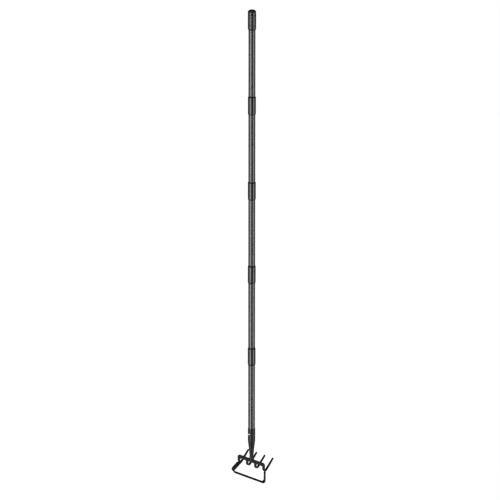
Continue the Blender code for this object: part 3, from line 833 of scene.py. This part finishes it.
def make_comb(finish):
    """Comb: a sheet of quads bent from its flat blank, given the plate's thickness and rounded edges.

    A finger's columns lie evenly between its two sides, which come closer by the width at each
    distance and flare as a quarter circle where they meet the bar. The bar's columns are those of
    the fingers' roots and of the gaps between them, drawn in at both ends by a quarter circle.
    """
    spread = np.linspace(-1, 1, 7)
    flare_rows = NOTCH_RADIUS * (1 - np.cos(np.radians(np.linspace(0, 90, 7))))
    legs = np.linspace(NOTCH_RADIUS, LEG_LENGTH, 4)[1:]
    bend = np.linspace(LEG_LENGTH, HOOK_END, 29)[1:]
    tip_start = HOOK_END + TINE_LENGTH - TIP_LENGTH
    shaft = np.linspace(HOOK_END, tip_start, 14)[1:]
    tip = tip_start + TIP_LENGTH * np.sin(np.radians(np.linspace(0, 90, 6)))[1:]
    rows = np.concatenate((flare_rows, legs, bend, shaft, tip))
    widths = (LEG_WIDTH, LEG_WIDTH, HOOK_WIDTH, TINE_WIDTH)
    half = np.interp(rows, (0, LEG_LENGTH, HOOK_END, tip_start), widths) / 2
    last = np.clip((rows - tip_start) / TIP_LENGTH, 0, 1)
    half = half * (1 - last) + TIP_CORE * last + TIP_ARC * np.sqrt(np.maximum(0, 1 - last ** 2)) * (last > 0)
    notch = NOTCH_RADIUS - circle_height(NOTCH_RADIUS, NOTCH_RADIUS - rows)
    flare = np.where(rows < NOTCH_RADIUS, notch, 0.0)
    fade = np.clip(1 - rows / (LEG_LENGTH + HOOK_RADIUS), 0, 1)
    middles = (np.arange(4) - 1.5) * TINE_SPACING
    points, faces, edge, roots, start = [], [], [], [], 0
    for index, middle in enumerate(middles):
        left = half + (OUTER_EXTRA * fade if index == 0 else flare)
        right = half + (OUTER_EXTRA * fade if index == 3 else flare)
        across = (spread[None, :] + 1) / 2
        x = middle - left[:, None] + (left + right)[:, None] * across
        grid = comb_places(x, BAR_HEIGHT + rows[:, None])
        points.append(grid.reshape(-1, 3))
        faces.append(grid_faces(*grid.shape[:2], wrap_columns=False) + start)
        tipped = np.clip((rows - HOOK_END) / TINE_LENGTH, 0, 1)[:, None]
        sides_worn = (np.abs(spread)[None, :] > 0.99) * (0.80 + 0.15 * tipped)
        edge.append(np.maximum(sides_worn, tipped ** 6).ravel())
        roots.append(x[0])
        start += grid.shape[0] * grid.shape[1]
    columns = [roots[0]]
    for first, second in zip(roots, roots[1:]):
        columns += [np.linspace(first[-1], second[0], 8)[1:-1], second]
    columns = np.concatenate(columns)
    outer = middles[-1] + LEG_WIDTH / 2 + OUTER_EXTRA
    drops = np.concatenate((BAR_CORNER * (1 - np.cos(np.radians(np.linspace(0, 90, 10)))), [BAR_HEIGHT]))
    reach = outer - BAR_CORNER + circle_height(BAR_CORNER, np.maximum(0, BAR_CORNER - drops))
    held = outer - BAR_HELD
    away = np.abs(columns)[None, :]
    pulled = held + (away - held) * ((reach - held) / (outer - held))[:, None]
    drawn = np.where(away > held, pulled, away) * np.sign(columns)[None, :]
    grid = comb_places(drawn, drops[:, None])
    points.append(grid.reshape(-1, 3))
    faces.append(grid_faces(*grid.shape[:2], wrap_columns=False) + start)
    ends = np.zeros(len(columns), bool)
    ends[[0, -1]] = True
    edge.append(0.80 * np.maximum(ends[None, :], (drops < 1e-9)[:, None]).ravel())
    sheet = np.concatenate(points)
    comb = piece("comb_plate", sheet, np.concatenate(faces), "head_section", ("tine_comb",),
                 finish, {"rim": np.concatenate(edge).astype(float)}, sharp=180.0)
    plate = comb.modifiers.new("plate", "SOLIDIFY")
    plate.thickness = PLATE - PLATE_SLACK
    plate.offset = 0.0
    plate.use_even_offset = True
    edges = comb.modifiers.new("edges", "BEVEL")
    edges.width = EDGE_BEVEL
    edges.segments = 3
    edges.limit_method = "ANGLE"
    edges.angle_limit = math.radians(50)
    edges.harden_normals = True


def stirrup_places():
    """Middle line of the stirrup's right half, with the strip's two directions at each point.

    The blade runs to the bend, the bend is an arc that touches the blade and the arm, and the arm
    runs on to its root. The wide side turns from the blade's tilt to the arm's twist over the bend,
    as a smooth step of the way round it.
    """
    hook_z = comb_top() - BAR_HEIGHT - LEG_LENGTH - HOOK_RADIUS
    hook_y = COMB_Y + HOOK_RADIUS
    corner = np.array((BLADE_SPAN / 2, hook_y - BLADE_LEAN, hook_z - BLADE_DROP))
    root = np.array((corner[0] - ARM_SPREAD, hook_y - ARM_SHIFT, hook_z - PLATE / 2 - GAP))
    along = np.array((1.0, 0.0, 0.0))
    arm = unit(root - corner)
    turn = math.acos(float(along @ arm))
    trim = BEND_RADIUS * math.tan(turn / 2)
    up = unit(arm - (arm @ along) * along)
    centre = corner - along * trim + up * BEND_RADIUS
    blade_x = np.linspace(0, corner[0] - trim, 30)
    blade = np.stack((blade_x, np.full(30, corner[1]), np.full(30, corner[2])), -1)
    angle = np.linspace(0, turn, 29)[1:, None]
    bend = centre + BEND_RADIUS * (along * np.sin(angle) - up * np.cos(angle))
    run = np.linspace(0, 1, 13)[1:, None]
    line = np.concatenate((blade, bend, bend[-1] + (root - bend[-1]) * run))
    turning = along * np.cos(angle) + up * np.sin(angle)
    heading = np.concatenate((np.tile(along, (30, 1)), turning, np.tile(arm, (12, 1))))
    tilted = np.array((0.0, math.cos(BLADE_TILT), -math.sin(BLADE_TILT)))
    square = unit(np.cross(arm, along))
    twisted = math.cos(ARM_TWIST) * square + math.sin(ARM_TWIST) * np.cross(arm, square)
    share = np.concatenate((np.zeros(30), angle[:, 0] / turn, np.ones(12)))
    wide = tilted + (twisted - tilted) * share[:, None]
    wide = unit(wide - (wide * heading).sum(-1, keepdims=True) * heading)
    return line, heading, wide, share, arm, root


def strip_section(grind, flare):
    """Outline of the strip: a flat sole, a flat back, and two edges, ground to a land by 0 to 1.

    Each of the six corners is an arc of a tenth of a millimetre or more, with a point close to it on
    each flat, where the wear ends. The flare, 0 to 1, widens the strip on its first side.
    """
    half = BLADE_WIDTH / 2
    back = -half - flare * ARM_FLARE
    low_side, high_side = -BLADE_THICKNESS / 2, BLADE_THICKNESS / 2
    land = high_side + grind * (LAND - BLADE_THICKNESS) - ARM_CHAMFER * (1 - grind)
    inset = GRIND_WIDTH * grind + ARM_CHAMFER * (1 - grind)
    corners = [
        (back, low_side, 0.00025),
        (half, low_side, 0.00025),
        (half, land, 0.00015),
        (half - inset, high_side, 0.0006),
        (back + inset, high_side, 0.0006),
        (back, land, 0.00015),
    ]
    steps = 5
    points, worn = rounded(corners, closed=True, steps=steps)
    spots, marks = [], []
    for index in range(len(corners)):
        arc = slice(index * steps, (index + 1) * steps)
        start, end = points[arc][-1], points[(index + 1) * steps % len(points)]
        margin = min(FLAT_POINT, np.linalg.norm(end - start) * 0.3)
        step = unit(end - start) * margin
        spots.append(np.concatenate((points[arc], [start + step, end - step])))
        marks.append(np.concatenate((worn[arc], [0.0, 0.0])))
    return np.concatenate(spots), np.concatenate(marks)


def make_stirrup(finish):
    """Stirrup: the strip's outline carried along its middle line, and its mirror image on the left."""
    line, heading, wide, share, arm, root = stirrup_places()
    upward = np.cross(heading, wide)
    shapes = [strip_section(1 - min(1.0, 2.0 * value), value) for value in share]
    section = np.stack([shape[0] for shape in shapes])
    worn = np.stack([shape[1] for shape in shapes])
    grid = swept(line, wide, upward, section)
    level = grid[-2] + arm * ((root[2] - grid[-2][:, 2:3]) / arm[2])
    grid[-1] = level
    mirrored = grid[:0:-1] * np.array((-1.0, 1.0, 1.0))
    whole = np.concatenate((mirrored, grid))
    worn = np.concatenate((worn[:0:-1], worn))
    edge = np.concatenate((worn[:1], worn, worn[-1:]))
    piece("stirrup_strip", capped(whole), grid_faces(len(whole) + 2, whole.shape[1]), "head_section",
          ("stirrup_blade",), finish, {"rim": edge}, sharp=50.0)
    return root, arm


def make_welds(finish, root, arm):
    """Weld beads: one round each arm's root under its hook, and one along each side of the neck's foot."""
    _, heading, wide, _, _, _ = stirrup_places()
    section, _ = strip_section(0.0, 1.0)
    ring = root + wide[-1] * section[:, 0:1] * 1.02 + np.cross(heading[-1], wide[-1]) * section[:, 1:2] * 1.25
    ring = ring + arm * ((root[2] - 0.0003 - ring[:, 2:3]) / arm[2])
    ring = np.concatenate((ring, ring[:4]))
    outward = unit(ring - ring.mean(0) + np.array((0, 0, -0.0005)))
    for side, name in ((1.0, "right"), (-1.0, "left")):
        flip = np.array((side, 1.0, 1.0))
        bead(f"arm_weld_{name}", ring * flip, outward * flip, ARM_BEAD, finish)
    comb = comb_top()
    reach = NECK_BEAD_REACH
    turn = np.radians(np.linspace(-90, 90, 21))
    for face, name in ((-1.0, "front"), (1.0, "back")):
        y = COMB_Y + face * (PLATE / 2 + 0.0002)
        across = reach * np.sin(turn)
        height = comb - NECK_BEAD_DROP + 0.0004 * np.cos(turn)
        low_line = np.stack((across, np.full(21, y), height), -1)
        up_left = np.array([[-reach, y, comb - 0.0004], [-reach - 0.0002, y, comb - 0.004]])
        up_right = np.array([[reach + 0.0002, y, comb - 0.004], [reach, y, comb - 0.0004]])
        path = np.concatenate((up_left, low_line, up_right))
        normal = np.tile((0.0, face, 0.0), (len(path), 1))
        bead(f"neck_weld_{name}", path, normal, NECK_BEAD, finish)


# ================================================================================================
# Studio
# ================================================================================================

CAMERA_TURN = 43.0           # degrees round from -Y towards +X
CAMERA_RISE = 18.0           # degrees above level
CAMERA_ROLL = 0.05           # degrees
CAMERA_TARGET = (0.0, 0.0, -0.8454)
CAMERA_DISTANCE = 10.35      # metres from the target
CAMERA_ASIDE = (-0.00651, -0.03117)  # how far to the right of the target and above it the camera aims
CAMERA_LENS = 200.347        # millimetres
FLOOR_SPAN = 60.0
LIGHT_POWER = 11.0
CONTRAST = 0.70              # gamma of the picture: less than 1 deepens the darks
# Light by share of a full turn: 0.5 is the camera's own side, more than that its left, less its right.
ROUND = [
    (0.00, 0.03),
    (0.14, 0.04),
    (0.22, 0.08),
    (0.28, 0.20),
    (0.325, 0.72),
    (0.36, 0.80),
    (0.41, 0.14),
    (0.47, 0.03),
    (0.52, 0.08),
    (0.56, 0.45),
    (0.60, 1.00),
    (0.645, 1.00),
    (0.69, 0.30),
    (0.74, 0.12),
    (0.86, 0.04),
    (1.00, 0.03),
]
# Light by height: 0 is straight below, 0.5 level and 1 straight above.
UPWARD = [
    (0.00, 0.05),
    (0.15, 0.06),
    (0.24, 1.00),
    (0.46, 1.00),
    (0.60, 0.22),
    (0.75, 0.10),
    (0.93, 0.12),
    (1.00, 0.80),
]


class Sky:
    """The studio's light as nodes of the world."""

    def __init__(self, name):
        world = bpy.data.worlds.new(name)
        world.use_nodes = True
        bpy.context.scene.world = world
        self.tree = world.node_tree
        self.tree.nodes.clear()

    def add(self, kind, settings=None, sockets=None):
        """Adds a node with its settings, values and links."""
        made = self.tree.nodes.new(kind)
        for key, value in (settings or {}).items():
            setattr(made, key, value)
        for key, value in (sockets or {}).items():
            if isinstance(value, bpy.types.NodeSocket):
                self.tree.links.new(value, made.inputs[key])
            else:
                made.inputs[key].default_value = value
        return made

    def maths(self, operation, first, second=0.0):
        """One step of arithmetic."""
        return self.add("ShaderNodeMath", {"operation": operation}, {0: first, 1: second}).outputs[0]

    def ramp(self, place, stops, blue=1.015):
        """Light that follows a list of (place, value), a trace bluer than white."""
        ramp = self.add("ShaderNodeValToRGB", None, {0: place})
        elements = ramp.color_ramp.elements
        ramp.color_ramp.interpolation = "EASE"
        while len(elements) < len(stops):
            elements.new(0.5)
        for element, (position, value) in zip(elements, stops):
            element.position = position
            element.color = (value, value, value * blue, 1.0)
        return ramp.outputs[0]


def light_studio():
    """Light from all round: tall soft panels to the camera's left and right, dark between them, and
    little from above or straight below. The camera itself sees plain white."""
    sky = Sky("studio")
    direction = sky.add("ShaderNodeTexCoord").outputs["Generated"]
    split = sky.add("ShaderNodeSeparateXYZ", None, {0: direction})
    azimuth = sky.maths("ARCTAN2", split.outputs[0], split.outputs[1])
    camera_share = (180.0 - CAMERA_TURN) / 360.0
    turned_share = sky.maths("ADD", sky.maths("DIVIDE", azimuth, 2 * math.pi), 1.5 - camera_share)
    around = sky.ramp(sky.maths("FRACT", turned_share), ROUND)
    height = sky.maths("ADD", sky.maths("MULTIPLY", split.outputs[2], 0.5), 0.5)
    upward = sky.ramp(height, UPWARD, blue=1.0)
    product = sky.add("ShaderNodeVectorMath", {"operation": "MULTIPLY"}, {0: around, 1: upward})
    lit = sky.add("ShaderNodeBackground", None, {0: product.outputs[0], 1: LIGHT_POWER})
    plain = sky.add("ShaderNodeBackground", None, {0: (1.0, 1.0, 1.0, 1.0), 1: 1.0})
    seen = sky.add("ShaderNodeLightPath").outputs["Is Camera Ray"]
    mixed = sky.add("ShaderNodeMixShader", None, {0: seen, 1: lit.outputs[0], 2: plain.outputs[0]})
    sky.add("ShaderNodeOutputWorld", None, {0: mixed.outputs[0]})
    bpy.context.scene.view_settings.view_transform = "Standard"
    bpy.context.scene.view_settings.gamma = CONTRAST


def lay_floor():
    """Plain white floor, as low as the blade reaches with every joint unscrewed.

    It glows, so that it stays as pale as the backdrop.
    """
    mesh = bpy.data.meshes.new("floor")
    reach = (SECTIONS - 1) * THREAD_TURNS * THREAD_PITCH
    level = CAD_BOX[0][2] - reach - FLOOR_GAP
    signs = ((-1, -1), (1, -1), (1, 1), (-1, 1))
    mesh.from_pydata([(x * FLOOR_SPAN, y * FLOOR_SPAN, level) for x, y in signs], [], [(0, 1, 2, 3)])
    floor = bpy.data.objects.new("floor", mesh)
    bpy.context.scene.collection.objects.link(floor)
    paper = Finish("pale floor")
    fibres = paper.noise(30.0, 6.0)
    glow = paper.blend(fibres, (0.97, 0.97, 0.97), (1.0, 1.0, 1.0))
    paper.feed(paper.shader.inputs["Emission Color"], glow)
    paper.shader.inputs["Emission Strength"].default_value = 1.0
    mesh.materials.append(paper.finish((0.02, 0.02, 0.02), 0.9, 0.0, fibres, 0.0002))
    floor.visible_glossy = False
    floor.visible_diffuse = False


def place_camera():
    """Camera at the viewing angle, level but for its roll, aimed a little beside its target."""
    turn, rise = math.radians(CAMERA_TURN), math.radians(CAMERA_RISE)
    back = np.array((math.sin(turn) * math.cos(rise), -math.cos(turn) * math.cos(rise), math.sin(rise)))
    right = np.array((math.cos(turn), math.sin(turn), 0.0))
    up = np.cross(back, right)
    target = np.array(CAMERA_TARGET)
    place = target + back * CAMERA_DISTANCE
    middle = target + right * CAMERA_ASIDE[0] + up * CAMERA_ASIDE[1]
    aim = unit(place - middle)
    side = unit(np.cross((0.0, 0.0, 1.0), aim))
    top = np.cross(aim, side)
    lean = math.radians(CAMERA_ROLL)
    leaned = side * math.cos(lean) + top * math.sin(lean)
    raised = top * math.cos(lean) - side * math.sin(lean)
    data = bpy.data.cameras.new("camera")
    data.lens = CAMERA_LENS
    data.clip_end = 300.0
    camera = bpy.data.objects.new("camera", data)
    columns = [[leaned[i], raised[i], aim[i], place[i]] for i in range(3)]
    camera.matrix_world = Matrix(columns + [[0, 0, 0, 1]])
    bpy.context.scene.collection.objects.link(camera)
    bpy.context.scene.camera = camera


def main():
    """Camera and studio, then the pole from the grip down, then the head."""
    place_camera()
    light_studio()
    lay_floor()
    grip = moulded("black grip plastic", (0.026, 0.026, 0.026), (0.036, 0.036, 0.036), 0.30, 1300.0, 0.00003)
    collar = moulded("black collar plastic", (0.013, 0.013, 0.015), (0.019, 0.019, 0.021), 0.19, 2200.0,
                     0.00001)
    tube = powder_coat("charcoal tube paint", (0.040, 0.040, 0.044), (0.052, 0.052, 0.057), 0.22)
    head = powder_coat("black head paint", (0.011, 0.011, 0.012), (0.017, 0.017, 0.018), 0.40,
                       wear=1.0, shine=0.38)
    zinc = plated("zinc plate")
    washer = rubber("black rubber")
    make_cap(grip)
    make_grip(grip)
    for number in range(1, SECTIONS + 1):
        make_tube(number, tube)
    for number in range(1, SECTIONS):
        make_collar(number, collar)
        make_stud(number, zinc)
        make_washer(number, washer)
    make_socket(head)
    make_screw(zinc)
    make_comb(head)
    root, arm = make_stirrup(head)
    make_welds(head, root, arm)
    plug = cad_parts["socket_plug"]
    plug.data.materials.clear()
    plug.data.materials.append(collar)


main()
